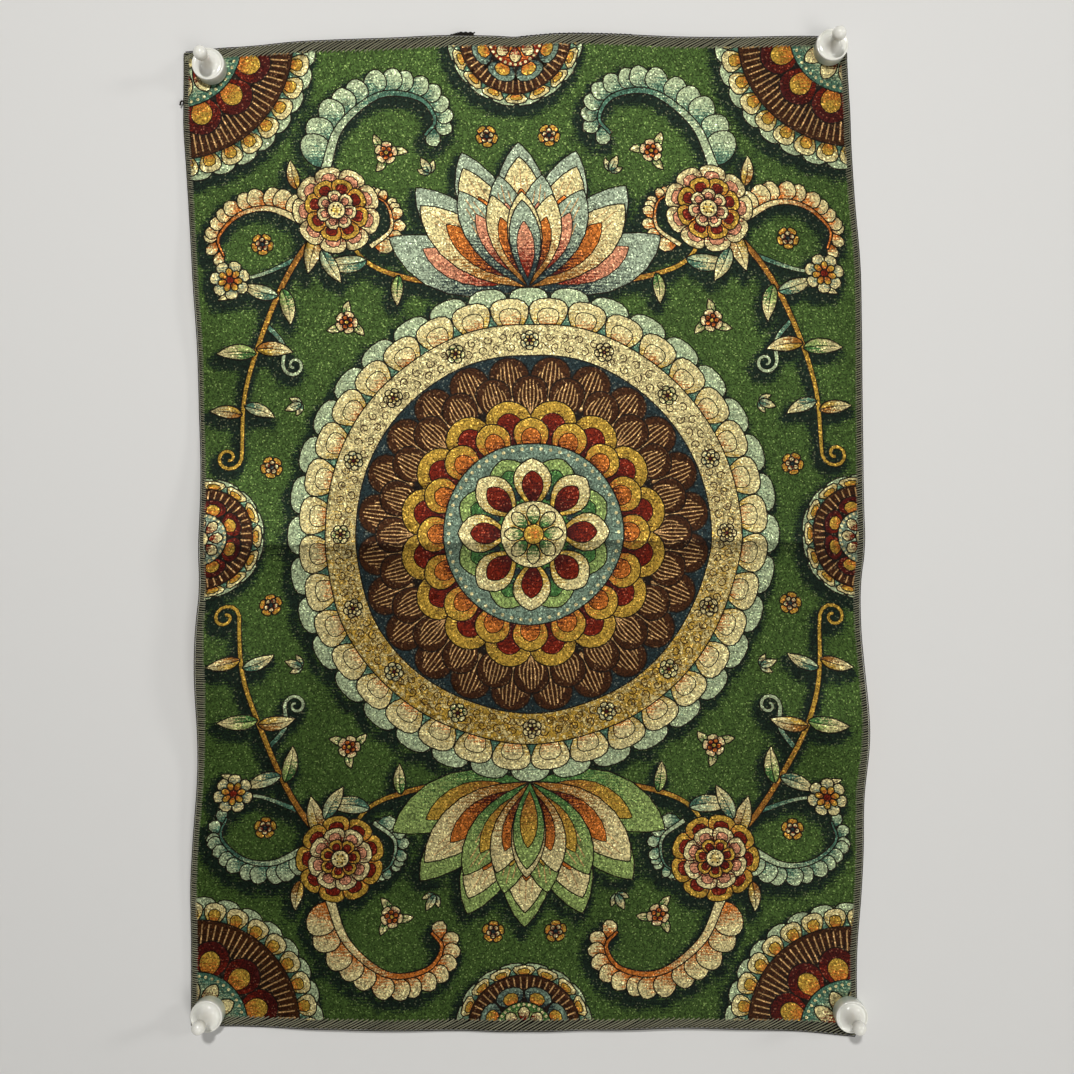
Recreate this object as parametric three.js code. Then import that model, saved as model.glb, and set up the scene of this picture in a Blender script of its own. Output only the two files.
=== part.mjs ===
// A woven wall hanging: one upright rectangle of brocade cloth, held flat against a wall by four push-pin
// magnets, one at each corner. Between the magnets the cloth stands a few millimetres off the wall.
//
// Millimetres, +Z up. The wall is the plane y = 0 and the cloth's face looks along -Y. The origin is on the
// wall, at the middle of the cloth's top edge.

import * as THREE from "three";

// ---------------------------------------------------------------- driving dimensions

const CLOTH_WIDTH = 300; // the cut size
const CLOTH_HEIGHT = 450;
const CLOTH_THICKNESS = 1.2;
const COLUMNS = 34; // cells of the cloth's surface, across and down
const ROWS = 52;

const MAGNET_RADIUS = 7.25;
const MAGNET_BASE = 6; // how far the base disc stands out
const LIP_WIDTH = 0.7; // the thin round lip of the dished front
const LIP_DEPTH = 0.5;
const EDGE_ROUNDING = 0.35;
const CONE_FOOT_RISE = 0.4; // the dish's floor sweeps up into a cone, and the cone into the stalk
const CONE_TOP = 11.3;
const STALK_RADIUS = 2.2;
const BALL_RADIUS = 3.05;
const BALL_HEIGHT = 16.5; // the ball's centre, from the magnet's back
const MAGNET_SIDES = 24;
const PROFILE_STEPS = 6;
const GAP = 0.3; // between a magnet and the cloth that it holds

const HELD_RADIUS = 13; // the cloth lies flat on the wall within this distance of a magnet's axis
const RELEASE = 34; // and over this further distance it comes free

// ---------------------------------------------------------------- tables

// The side edges wander from the straight cut: how far each is shifted along +X, by the distance down.
const SIDES = [
  { down: 0, left: -3.5, right: -3.6 },
  { down: 11, left: -3.5, right: -3.3 },
  { down: 36, left: -3.5, right: -1.9 },
  { down: 47, left: -2.7, right: -1.6 },
  { down: 75, left: -0.8, right: 0.2 },
  { down: 102, left: 1.2, right: 2.5 },
  { down: 129, left: 2.8, right: 3 },
  { down: 166, left: 3.8, right: 3 },
  { down: 202, left: 5.6, right: 3.2 },
  { down: 229, left: 6.2, right: 3.6 },
  { down: 247, left: 6.2, right: 2.2 },
  { down: 266, left: 4.4, right: 2.4 },
  { down: 284, left: 4, right: 3.4 },
  { down: 311, left: 4.2, right: 4.2 },
  { down: 338, left: 3.2, right: 3.1 },
  { down: 366, left: 1, right: 3.8 },
  { down: 384, left: -0.2, right: 3.1 },
  { down: 411, left: 0, right: 1.2 },
  { down: 450, left: -0.2, right: 1.2 },
];

// The top and bottom edges, by the place across: how far each is shifted along +Z.
const ENDS = [
  { across: -150, top: -8, bottom: 0 },
  { across: -138, top: -6.6, bottom: 0.6 },
  { across: -120, top: -5.4, bottom: 0.4 },
  { across: -101, top: -3.8, bottom: 0 },
  { across: -83, top: -3.3, bottom: -0.2 },
  { across: -56, top: -2.8, bottom: -0.8 },
  { across: -29, top: -1.4, bottom: -0.8 },
  { across: -9, top: -1.5, bottom: -1.5 },
  { across: 2, top: -1.9, bottom: -1.3 },
  { across: 12, top: -0.9, bottom: -1.2 },
  { across: 24, top: -0.5, bottom: -0.4 },
  { across: 44, top: -1.1, bottom: 0 },
  { across: 71, top: -2.2, bottom: 0.9 },
  { across: 95, top: -2, bottom: -0.1 },
  { across: 126, top: -0.8, bottom: -1.8 },
  { across: 150, top: -1, bottom: -4.3 },
];

// Where the cloth swells off the wall: each swelling's middle, its half width and half height, and its lift.
const SWELLINGS = [
  { name: "left edge, upper flute", across: -150, down: 116, halfWidth: 22, halfHeight: 19, lift: 2.4 },
  { name: "left edge, main flute", across: -148, down: 234, halfWidth: 24, halfHeight: 25, lift: 7.6 },
  { name: "left edge, main flute's foot", across: -150, down: 291, halfWidth: 20, halfHeight: 24, lift: 7.6 },
  { name: "left edge, lower ripple", across: -150, down: 357, halfWidth: 16, halfHeight: 16, lift: 1.4 },
  { name: "right edge, long flute", across: 152, down: 205, halfWidth: 20, halfHeight: 42, lift: 2.4 },
  { name: "right edge, lower flute", across: 154, down: 318, halfWidth: 24, halfHeight: 22, lift: 8.6 },
  { name: "top edge, left wave", across: -58, down: 0, halfWidth: 30, halfHeight: 20, lift: 2.2 },
  { name: "top edge, right wave", across: 52, down: 0, halfWidth: 34, halfHeight: 22, lift: 2.4 },
  { name: "bottom edge, left wave", across: -78, down: 450, halfWidth: 28, halfHeight: 18, lift: 1.8 },
  { name: "bottom edge, right wave", across: 62, down: 450, halfWidth: 36, halfHeight: 20, lift: 2.2 },
  { name: "belly", across: 8, down: 250, halfWidth: 92, halfHeight: 140, lift: 2.6 },
  { name: "upper pull", across: -62, down: 92, halfWidth: 34, halfHeight: 26, lift: 1 },
  { name: "lower pull", across: 70, down: 378, halfWidth: 38, halfHeight: 24, lift: 1.1 },
];

// The cloth was stored folded in half, and the fold stays as a low ridge right across.
const FOLD = { down: 233, halfHeight: 7, lift: 1.1 };

// Each magnet's axis: its place across and its distance below the origin.
const MAGNETS = [
  { name: "magnet_top_left", across: -141.3, down: 15.4 },
  { name: "magnet_top_right", across: 139, down: 6.8 },
  { name: "magnet_bottom_left", across: -142.1, down: 443.1 },
  { name: "magnet_bottom_right", across: 147.8, down: 443.3 },
];

// ---------------------------------------------------------------- the cloth's surface

// A smooth curve through one column of a table, as a function of another column.
function curveThrough(rows, at, value) {
  const places = rows.map((row) => row[at]);
  const values = rows.map((row) => row[value]);
  const curve = new THREE.CubicInterpolant(places, values, 1);
  return (place) => curve.evaluate(place)[0];
}

const leftShift = curveThrough(SIDES, "down", "left");
const rightShift = curveThrough(SIDES, "down", "right");
const topShift = curveThrough(ENDS, "across", "top");
const bottomShift = curveThrough(ENDS, "across", "bottom");

// The place on the wall, x and z, of the cloth's point a share u of the way across and v of the way down.
function onWall(u, v) {
  const across = (u - 0.5) * CLOTH_WIDTH;
  const down = v * CLOTH_HEIGHT;
  const x = across + THREE.MathUtils.lerp(leftShift(down), rightShift(down), u);
  const z = -down + THREE.MathUtils.lerp(topShift(across), bottomShift(across), v);
  return { x, z };
}

function bell(distance, halfSpan) {
  return Math.exp(-0.5 * (distance / halfSpan) ** 2);
}

// 0 where a magnet holds the cloth to the wall, and 1 where the cloth is free.
function freedom(x, z) {
  const shares = MAGNETS.map(({ across, down }) => {
    const distance = Math.hypot(x - across, z + down);
    return THREE.MathUtils.smoothstep(distance, HELD_RADIUS, HELD_RADIUS + RELEASE);
  });
  return Math.min(...shares);
}

// How far the cloth's back stands off the wall.
function standOff(x, z) {
  const swellings = SWELLINGS.map(
    (each) => each.lift * bell(x - each.across, each.halfWidth) * bell(z + each.down, each.halfHeight),
  );
  const fold = FOLD.lift * bell(z + FOLD.down, FOLD.halfHeight);
  const sum = swellings.reduce((total, each) => total + each, fold);
  return sum * freedom(x, z);
}

// The cloth as one closed sheet: its face, its back, and the rim that joins them.
function clothGeometry() {
  const positions = [];
  const indices = [];
  const acrossCount = COLUMNS + 1;
  const layerCount = acrossCount * (ROWS + 1);

  [CLOTH_THICKNESS, 0].forEach((height) => {
    for (let row = 0; row <= ROWS; row++) {
      for (let column = 0; column <= COLUMNS; column++) {
        const { x, z } = onWall(column / COLUMNS, row / ROWS);
        positions.push(x, -standOff(x, z) - height, z);
      }
    }
  });

  const quad = (a, b, c, d) => indices.push(a, b, c, a, c, d);
  const face = (row, column) => row * acrossCount + column;
  const back = (row, column) => layerCount + face(row, column);
  for (let row = 0; row < ROWS; row++) {
    for (let column = 0; column < COLUMNS; column++) {
      quad(face(row, column), face(row + 1, column), face(row + 1, column + 1), face(row, column + 1));
      quad(back(row, column), back(row, column + 1), back(row + 1, column + 1), back(row + 1, column));
    }
  }
  for (let row = 0; row < ROWS; row++) {
    quad(face(row, 0), back(row, 0), back(row + 1, 0), face(row + 1, 0));
    quad(face(row, COLUMNS), face(row + 1, COLUMNS), back(row + 1, COLUMNS), back(row, COLUMNS));
  }
  for (let column = 0; column < COLUMNS; column++) {
    quad(face(0, column), face(0, column + 1), back(0, column + 1), back(0, column));
    quad(face(ROWS, column), back(ROWS, column), back(ROWS, column + 1), face(ROWS, column + 1));
  }

  const geometry = new THREE.BufferGeometry();
  geometry.setAttribute("position", new THREE.Float32BufferAttribute(positions, 3));
  geometry.setIndex(indices);
  geometry.computeVertexNormals();
  return geometry;
}

// ---------------------------------------------------------------- a magnet

// The section from the middle of the back, round the base and the lip, up the stalk and over the ball.
function magnetProfile() {
  const dishEdge = MAGNET_RADIUS - LIP_WIDTH;
  const dishFloor = MAGNET_BASE - LIP_DEPTH;
  const section = new THREE.Path();
  section.moveTo(0, 0);
  section.lineTo(MAGNET_RADIUS - EDGE_ROUNDING, 0);
  section.lineTo(MAGNET_RADIUS, EDGE_ROUNDING);
  section.lineTo(MAGNET_RADIUS, MAGNET_BASE - EDGE_ROUNDING);
  section.lineTo(MAGNET_RADIUS - LIP_WIDTH / 2, MAGNET_BASE);
  section.lineTo(dishEdge, dishFloor);
  section.quadraticCurveTo(STALK_RADIUS, dishFloor + CONE_FOOT_RISE, STALK_RADIUS, CONE_TOP);
  const neckAngle = Math.acos(STALK_RADIUS / BALL_RADIUS);
  section.absarc(0, BALL_HEIGHT, BALL_RADIUS, -neckAngle, Math.PI / 2);
  return section.getPoints(PROFILE_STEPS);
}

// Turned about the Y axis, with its back on the plane y = 0 and the ball towards -Y.
function magnetGeometry() {
  const geometry = new THREE.LatheGeometry(magnetProfile(), MAGNET_SIDES);
  geometry.rotateX(Math.PI);
  return geometry;
}

// ---------------------------------------------------------------- the object

const brocade = new THREE.MeshStandardMaterial({ color: 0x5b6b35, roughness: 0.75, metalness: 0 });
const whitePlastic = new THREE.MeshStandardMaterial({ color: 0xe9e8e2, roughness: 0.25, metalness: 0 });

const hanging = new THREE.Group();

const cloth = new THREE.Mesh(clothGeometry(), brocade);
cloth.name = "cloth";
hanging.add(cloth);

for (const { name, across, down } of MAGNETS) {
  const magnet = new THREE.Mesh(magnetGeometry(), whitePlastic);
  magnet.name = name;
  magnet.position.set(across, -(CLOTH_THICKNESS + GAP), -down);
  hanging.add(magnet);
}

export default hanging;
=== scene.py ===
"""A woven thangka hanging, held on a wall by four push-pin magnets.

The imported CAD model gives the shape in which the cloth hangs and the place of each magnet. This script weaves
the cloth's pattern into one thin sheet on that shape, overlocks its edge with threads, turns the magnets, and
adds the wall, the light and the camera. The pattern is drawn on the flat cloth, in millimetres from its
middle, with x to the right and z up.
"""

import math
from typing import Callable, NamedTuple

import bpy
import numpy as np
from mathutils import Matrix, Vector
from mathutils.geometry import delaunay_2d_cdt
from mathutils.kdtree import KDTree


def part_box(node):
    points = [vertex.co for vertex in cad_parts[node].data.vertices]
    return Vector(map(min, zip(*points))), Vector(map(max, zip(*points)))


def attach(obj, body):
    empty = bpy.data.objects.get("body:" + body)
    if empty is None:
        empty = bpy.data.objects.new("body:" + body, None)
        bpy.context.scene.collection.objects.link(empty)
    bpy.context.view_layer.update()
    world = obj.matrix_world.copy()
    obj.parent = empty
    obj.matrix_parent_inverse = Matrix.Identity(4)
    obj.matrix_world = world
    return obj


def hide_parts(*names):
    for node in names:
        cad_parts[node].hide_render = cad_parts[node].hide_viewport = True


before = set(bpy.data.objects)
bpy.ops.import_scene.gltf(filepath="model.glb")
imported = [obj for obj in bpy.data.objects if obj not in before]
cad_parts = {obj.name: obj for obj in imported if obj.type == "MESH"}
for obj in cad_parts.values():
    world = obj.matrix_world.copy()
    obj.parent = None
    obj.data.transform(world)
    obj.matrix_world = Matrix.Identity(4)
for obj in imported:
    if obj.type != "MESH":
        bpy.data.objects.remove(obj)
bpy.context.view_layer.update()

# ---------------------------------------------------------------- sizes, in millimetres

MM = 0.001  # one millimetre in the frame's metres
TURN = 2 * math.pi

WIDTH, HEIGHT = 300.0, 450.0  # the cut cloth
CORNERS = np.array([(-1, -1), (1, -1), (1, 1), (-1, 1)]) * (WIDTH / 2, HEIGHT / 2)  # anticlockwise
THICKNESS = 0.8
RIM_STEP = 2.0  # between the points of the cloth's own edge
LONGEST_SIDE = 4.0  # of an outline
DISC_SIDE = 1.3  # of a round outline
CURL_HEART = 0.18  # the share of its radius at which a curl ends
SHARPEST = 0.45  # keeps a sharp corner short where an outline grows: 2 is straight, and 0 turns right back
FACE_GRID = 4.5  # between the points that keep the face's folds smooth
BACK_GRID = 7.0
NEAR_EDGES = (0.9, 2.2, 3.8, 5.8)  # how far in from each side the points lie closer, for its curl
INSIDE = 0.5  # the pattern stops this far inside the cut edge
OUTLINE = 0.6  # the dark lines round the motifs
VEIN = 0.62  # the gold lines on the petals
RELIEF = 0.12  # how far a motif's fill stands over its outline
CELL = 0.46  # one stitch of the weave
SPECK = 0.54  # one glint of metal thread
BACK_LEAST = 55.0  # the smallest colour area, in square millimetres, that is drawn on the back
FILLER_STEP = 3.0  # between the places that are tried for the small motifs
FILLER_EDGES = (4.0, 143.0, 217.0)  # of those places in a quarter: the nearest, the furthest right and up
HATCH_LEAN = (1.6, 3.2)  # the ground is hatched dark under and left of each motif
HATCH_SOLID = 0.8  # all dark out to here
HATCH_REACH = 3.8  # and over this further distance less and less
HATCH_FALL = 0.8
CREASE_Z = -4.5  # where the cloth was folded in half
CREASE_HEIGHT = 0.8
CREASE_REACH = (5.0, 2.6)  # how far above and below the fold its ridge falls away
CREASE_ENDS = (4.0, 14.0)  # it fades out between these distances from the sides
CREASE_ROWS = CREASE_Z + np.array((-8, -5, -3, -1.5, -0.5, 0, 0.5, 1.5, 3, 5, 8))  # rows of points on it
FOLD_SHADE = 0.9  # times the tone, about 0.5: how much of their brightness the threads lose just under the fold, as painted shade
FOLD_SHADE_START = 1.6  # above the fold
FOLD_SHADE_REACH = 9.0  # below it

# ---------------------------------------------------------------- threads

# each thread's colour as sRGB, and the thread that the back of the weave shows behind it
THREADS = {
    "dark_line": ((26, 19, 12), "pale_jade"),
    "ground": ((58, 79, 33), "gold_line"),
    "ground_dark": ((17, 30, 20), "deep_gold"),
    "cream": ((194, 180, 126), "ground_dark"),
    "gold": ((161, 128, 46), "ground"),
    "deep_gold": ((130, 84, 30), "ground_dark"),
    "gold_line": ((168, 130, 82), "brown"),
    "brown": ((54, 28, 9), "pale_teal"),
    "blue": ((96, 114, 96), "orange"),
    "pale_blue": ((138, 150, 124), "brown"),
    "navy": ((29, 42, 43), "gold"),
    "red": ((100, 25, 9), "teal"),
    "dark_red": ((60, 14, 9), "jade"),
    "orange": ((164, 92, 32), "blue"),
    "teal": ((62, 95, 76), "orange"),
    "pale_teal": ((152, 164, 126), "red"),
    "pink": ((180, 122, 90), "navy"),
    "jade": ((58, 96, 46), "pink"),
    "pale_jade": ((124, 142, 78), "dark_red"),
    # near black: the cloth's dark edge and painted shade between the overlock stitches, also on the cut edge
    "edge_ground_and_shade": ((11, 10, 8), "edge_ground_and_shade"),
}
# threads that shade into each other
TEALS, JADES, BLUES = ("teal", "pale_teal"), ("jade", "pale_jade"), ("blue", "pale_blue")
CREAMS, GOLDS, REDS = ("gold", "cream"), ("orange", "gold"), ("dark_red", "red")


def linear(name):
    """A thread's colour as linear red, green, blue and alpha."""
    shares = np.array(THREADS[name][0]) / 255
    low = shares / 12.92
    high = ((shares + 0.055) / 1.055) ** 2.4
    return np.append(np.where(shares <= 0.04045, low, high), 1.0)


# ---------------------------------------------------------------- the four sides of the cut cloth


class Side(NamedTuple):
    """One side, followed clockwise, and how it is overlocked."""

    corner: tuple  # where it starts
    ahead: tuple
    length: float
    widths: tuple  # of the overlocked band, at even steps from its start to its end
    pitch: float  # between stitches
    lean: float  # how far ahead a stitch reaches the edge
    thread: float  # its width

    @property
    def inward(self):
        return np.array((self.ahead[1], -self.ahead[0]))

    def width(self, run):
        return np.interp(run, np.linspace(0, self.length, len(self.widths)), self.widths)

    def flat(self, run, inwards):
        """The flat place so far along the side and so far in from its edge."""
        along_it = np.multiply.outer(run, np.array(self.ahead))
        return np.array(self.corner) + along_it + np.multiply.outer(inwards, self.inward)


TOP_WIDTHS = (3.6, 4.5, 4.8, 4.8, 3.8, 4.5, 4.5, 4.1, 4.2)
RIGHT_WIDTHS = (2.6, 2.4, 2.2, 2.5, 2.8, 2.3, 3.2, 2.6, 2.3)
BOTTOM_WIDTHS = (5.4, 4.5, 3.8, 4.3, 5.4, 4.4, 4.4, 4.2, 3.8)
LEFT_WIDTHS = (
    2.4, 2.4, 2.3, 2.2, 2.0, 2.2, 2.7, 3.9, 3.1, 2.2, 2.0, 1.8, 1.6, 1.7, 1.8, 1.8, 1.8, 1.9, 2.0, 2.1, 2.3,
)
SIDES = (
    Side((-WIDTH / 2, HEIGHT / 2), (1, 0), WIDTH, TOP_WIDTHS, 2.12, 9.0, 0.54),
    Side((WIDTH / 2, HEIGHT / 2), (0, -1), HEIGHT, RIGHT_WIDTHS, 1.04, -1.0, 0.46),
    Side((WIDTH / 2, -HEIGHT / 2), (-1, 0), WIDTH, BOTTOM_WIDTHS, 2.25, 9.0, 0.54),
    Side((-WIDTH / 2, -HEIGHT / 2), (0, 1), HEIGHT, LEFT_WIDTHS, 1.02, 0.6, 0.46),
)

# ---------------------------------------------------------------- vectors and curves


def unit(vectors):
    """Vectors of the same directions, one unit long."""
    return vectors / np.linalg.norm(vectors, axis=-1, keepdims=True)


def cubic_weights(share):
    """Catmull-Rom weights of the four neighbours of a point that lies a share of the way between two."""
    t = share[:, None]
    powers = np.concatenate([np.ones_like(t), t, t**2, t**3], axis=1)
    catmull_rom = [[0, 1, 0, 0], [-0.5, 0, 0.5, 0], [1, -2.5, 2, -0.5], [-0.5, 1.5, -1.5, 0.5]]
    return powers @ np.array(catmull_rom)


# ---------------------------------------------------------------- the cloth's shape, from the frame

NET_ROWS, NET_COLUMNS = 53, 35  # of the CAD cloth's points, on its face and behind it on its back


def net_of(node):
    """The points of the CAD cloth's face, in rows from the top and columns from the left."""
    places = np.array([vertex.co for vertex in node.data.vertices], float)
    points = np.unique(places.round(6), axis=0)
    rows = points[np.argsort(-points[:, 2])].reshape(NET_ROWS, -1, 3)
    pairs = np.array([row[np.argsort(row[:, 0])] for row in rows]).reshape(NET_ROWS, NET_COLUMNS, 2, 3)
    return np.array([[min(pair, key=lambda point: point[1]) for pair in row] for row in pairs])


class Drape:
    """The face of the hanging cloth: the CAD solid's own net of points, and smooth between them."""

    def __init__(self, node):
        self.padded = np.pad(net_of(node), ((1, 1), (1, 1), (0, 0)), mode="reflect", reflect_type="odd")

    def at(self, flat):
        """The places in the frame of points of the flat cloth."""
        across = np.clip(flat[:, 0] / WIDTH + 0.5, 0, 1) * (NET_COLUMNS - 1)
        down = np.clip(0.5 - flat[:, 1] / HEIGHT, 0, 1) * (NET_ROWS - 1)
        column = np.minimum(across.astype(int), NET_COLUMNS - 2)
        row = np.minimum(down.astype(int), NET_ROWS - 2)
        around = np.arange(4)
        near = self.padded[(row[:, None] + around)[:, :, None], (column[:, None] + around)[:, None, :]]
        return np.einsum("ni,nj,nijk->nk", cubic_weights(down - row), cubic_weights(across - column), near)

    def normals(self, flat):
        """The face's outward directions at points of the flat cloth."""
        sideways = self.at(flat + (0.5, 0)) - self.at(flat - (0.5, 0))
        upwards = self.at(flat + (0, 0.5)) - self.at(flat - (0, 0.5))
        return unit(np.cross(sideways, upwards))

    def over(self, flat, height):
        """The places at heights over points of the flat cloth."""
        return self.at(flat) + self.normals(flat) * (height * MM)[:, None]


DRAPE = Drape(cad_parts["cloth"])

# ---------------------------------------------------------------- shading from one thread to the other


def plain(points):
    """The first thread all over."""
    return np.zeros(len(points))


def along(foot, tip):
    """From the first thread at one point to the second at another."""
    foot, tip = np.array(foot, float), np.array(tip, float)
    span = tip - foot
    return lambda points: np.clip((points - foot) @ span / (span @ span), 0, 1)


def outwards(centre, inner, outer):
    """From the first thread at one radius to the second at another."""
    centre = np.array(centre, float)
    return lambda points: np.clip((np.linalg.norm(points - centre, axis=1) - inner) / (outer - inner), 0, 1)


# ---------------------------------------------------------------- lines and outlines on the flat cloth


def heading(angle):
    """The direction at an angle from +X, in degrees."""
    return np.array([math.cos(math.radians(angle)), math.sin(math.radians(angle))])


def ways(angles):
    """The directions at a row of angles from +X, in radians."""
    return np.stack([np.cos(angles), np.sin(angles)], axis=1)


def signed_area(outline):
    """The area inside a closed outline, negative where it runs clockwise."""
    return np.cross(outline, np.roll(outline, -1, axis=0)).sum() / 2


def grown(outline, by):
    """A closed outline moved outwards by a distance, or inwards where that is negative."""
    ahead = np.roll(outline, -1, axis=0) - outline
    ahead /= np.maximum(np.linalg.norm(ahead, axis=1), 1e-9)[:, None]
    out_after = np.stack([ahead[:, 1], -ahead[:, 0]], axis=1) * np.sign(signed_area(outline))
    out_before = np.roll(out_after, 1, axis=0)
    bluntness = np.maximum(1 + (out_after * out_before).sum(axis=1), SHARPEST)
    return outline + (out_after + out_before) / bluntness[:, None] * by


def disc(centre, radius):
    """A round outline."""
    count = int(np.clip(radius * TURN / DISC_SIDE, 8, 150))
    return np.array(centre) + radius * ways(np.arange(count) * TURN / count)


def smooth_line(corners, step=1.2):
    """A curve through a few points, as points about a step apart."""
    corners = np.array(corners, float)
    padded = np.pad(corners, ((1, 1), (0, 0)), mode="reflect", reflect_type="odd")
    line = []
    for k in range(len(corners) - 1):
        count = max(2, int(np.linalg.norm(corners[k + 1] - corners[k]) / step))
        weights = cubic_weights(np.arange(count) / count)
        line.append(weights @ padded[k : k + 4])
    return np.concatenate(line + [corners[-1:]])


def spiral(centre, radius, turns, start, hand):
    """A curl that winds in from a circle to its centre. hand is 1 where it winds in anticlockwise."""
    share = np.linspace(0, 1, max(8, int(turns * 14)))
    angle = math.radians(start) + hand * share * turns * TURN
    reach = radius * (1 - (1 - CURL_HEART) * share)
    return np.array(centre) + reach[:, None] * ways(angle)


def sides_of(line):
    """The directions to the left of a line, at each of its points."""
    forward = unit(np.gradient(line, axis=0))
    return np.stack([-forward[:, 1], forward[:, 0]], axis=1)


def stroke(line, width, taper=1.0):
    """A line as an outline of that width, which narrows to a share of it at the line's end."""
    half = width / 2 * np.linspace(1, taper, len(line))[:, None]
    left = sides_of(line)
    return np.concatenate([line + left * half, (line - left * half)[::-1]])


class Blade:
    """A petal or leaf, on an axis that starts at its foot and may bend, in degrees.

    belly is the share of its length at which it is widest, and sharp tells how pointed its tip is.
    """

    def __init__(self, foot, angle, length, width, bend, belly, sharp):
        steps = int(np.clip(length * 0.8, 6, 11))
        share = (1 - np.cos(np.linspace(0, math.pi, steps))) / 2
        way = ways(np.radians(angle + bend * share))
        lengths = np.diff(share, prepend=0)[:, None] * length
        middles = (way + np.roll(way, 1, axis=0)) / 2
        middles[0] = way[0]
        self.axis = np.array(foot, float) + np.cumsum(middles * lengths, axis=0)
        swell = belly * sharp / (1 - belly)
        half = share**swell * (1 - share) ** sharp
        half *= width / 2 / (belly**swell * (1 - belly) ** sharp)
        offsets = sides_of(self.axis) * half[:, None]
        self.left = self.axis + offsets
        self.right = self.axis - offsets

    @property
    def outline(self):
        return np.concatenate([self.left, self.right[-2:0:-1]])

    @property
    def left_half(self):
        return np.concatenate([self.left, self.axis[-2:0:-1]])

    @property
    def shade(self):
        return along(self.axis[0], self.axis[-1])


# ---------------------------------------------------------------- the pattern


class Shape(NamedTuple):
    """One colour area: its outline, two threads, the second one's share, its height and its scrollwork."""

    outline: np.ndarray
    first: str
    second: str
    shade: Callable
    relief: float
    tracery: float = 0.0


class Pattern:
    """Shapes woven one over another on the flat cloth."""

    def __init__(self):
        self.shapes = []

    def lay(self, outline, first, second=None, shade=None, relief=0.0, tracery=0.0):
        """Weaves one shape over those before it."""
        kept = split(inside_cloth(outline))
        if len(kept) > 2:
            self.shapes.append(Shape(kept, first, second or first, shade or plain, relief, tracery))

    def edged(self, outline, first, second=None, shade=None, width=OUTLINE, tracery=0.0):
        """A shape with a fine dark line round it."""
        self.lay(grown(outline, width / 2), "dark_line")
        self.lay(grown(outline, -width / 2), first, second, shade, RELIEF, tracery)

    def line(self, line, width, thread, taper=1.0):
        self.lay(stroke(line, width, taper), thread)

    def mirror(self, part, signs):
        """Lays the shapes of a pattern drawn for the upper right quarter in others, as signs of x and z."""
        for sign in np.array(signs, float):
            for shape in part.shapes:
                shade = mirrored(shape.shade, sign)
                self.shapes.append(shape._replace(outline=shape.outline * sign, shade=shade))

    def places(self):
        """The points of all its outlines but the first."""
        return np.concatenate([shape.outline for shape in self.shapes[1:]])

    def reverse(self):
        """The back of the cloth: its larger colour areas in the threads that lie behind."""
        back = Pattern()
        for shape in self.shapes:
            if abs(signed_area(shape.outline)) > BACK_LEAST and shape.first != "dark_line":
                first, second = THREADS[shape.first][1], THREADS[shape.second][1]
                back.shapes.append(shape._replace(first=first, second=second))
        return back


def mirrored(shade, sign):
    return lambda points: shade(points * sign)


def inside_cloth(outline):
    """The part of an outline that lies on the cloth, cut along its four sides in turn."""
    limits = ((0, 1, WIDTH / 2), (0, -1, WIDTH / 2), (1, 1, HEIGHT / 2), (1, -1, HEIGHT / 2))
    for axis, sign, size in limits:
        room = size - INSIDE - sign * outline[:, axis]
        if (room >= 0).all():
            continue
        kept = []
        for k in range(len(outline)):
            following = (k + 1) % len(outline)
            here, after = room[k], room[following]
            if here >= 0:
                kept.append(outline[k])
            if (here < 0) != (after < 0):
                crossing = here / (here - after)
                kept.append(outline[k] + crossing * (outline[following] - outline[k]))
        if len(kept) < 3:
            return np.zeros((0, 2))
        outline = np.array(kept)
    return outline


def split(outline):
    """The same outline with points added along its long sides, so that they follow the cloth's folds."""
    spans = np.roll(outline, -1, axis=0) - outline
    counts = np.maximum(1, np.ceil(np.linalg.norm(spans, axis=1) / LONGEST_SIDE)).astype(int)
    if len(outline) < 3 or counts.max() == 1:
        return outline
    shares = np.concatenate([np.arange(count) / count for count in counts])
    return np.repeat(outline, counts, axis=0) + np.repeat(spans, counts, axis=0) * shares[:, None]


def distances(places):
    """A function that gives how far points lie from the nearest of some places."""
    tree = KDTree(len(places))
    for number, (x, z) in enumerate(places):
        tree.insert((x, z, 0), number)
    tree.balance()

    def nearest(points):
        unique, back = np.unique(points.round(4), axis=0, return_inverse=True)
        return np.array([tree.find((x, z, 0))[2] for x, z in unique])[back.reshape(-1)]

    return nearest


# ---------------------------------------------------------------- motifs


def petal(pattern, foot, angle, length, width, body, heart, veins, belly, sharp, bend=0.0):
    """A petal with a shaded body, a smaller heart inside it, and gold veins that fan out from its foot."""
    blade = Blade(foot, angle, length, width, bend, belly, sharp)
    pattern.edged(blade.outline, *body, blade.shade)
    foot = blade.axis[0]
    span = blade.axis[-1] - foot
    for k in range(veins):
        side = (k + 0.5) / veins * 2 - 1
        reach = 0.96 - 0.3 * abs(side) ** 1.7
        across = heading(angle + 90) * side * width * 0.42
        middle = foot + span * reach * 0.55 + across * 0.9
        end = foot + span * reach * 0.95 + across * 0.75
        pattern.line(smooth_line([foot + span * 0.05, middle, end], 3.0), VEIN, "gold_line", 0.75)
    if heart:
        inner = Blade(foot + span * 0.1, angle, length * 0.66, width * 0.56, bend, belly, sharp)
        pattern.edged(inner.outline, *heart, inner.shade, 0.45)


def petal_ring(pattern, centre, count, foot, tip, fill, body, heart=None, veins=0, turn=0.0, *, belly, sharp):
    """A ring of petals round a centre, from one radius to another. fill is each one's share of its room."""
    centre = np.array(centre, float)
    length = tip - foot
    width = fill * TURN * (foot + 0.5 * length) / count
    for k in range(count):
        angle = turn + k * 360 / count
        start = centre + foot * heading(angle)
        petal(pattern, start, angle, length, width, body, heart, veins, belly, sharp)


def boss(pattern, centre, radius, threads, inner, outer):
    """A round area that shades from one radius to another."""
    pattern.edged(disc(centre, radius), *threads, outwards(centre, inner, outer))


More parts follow.
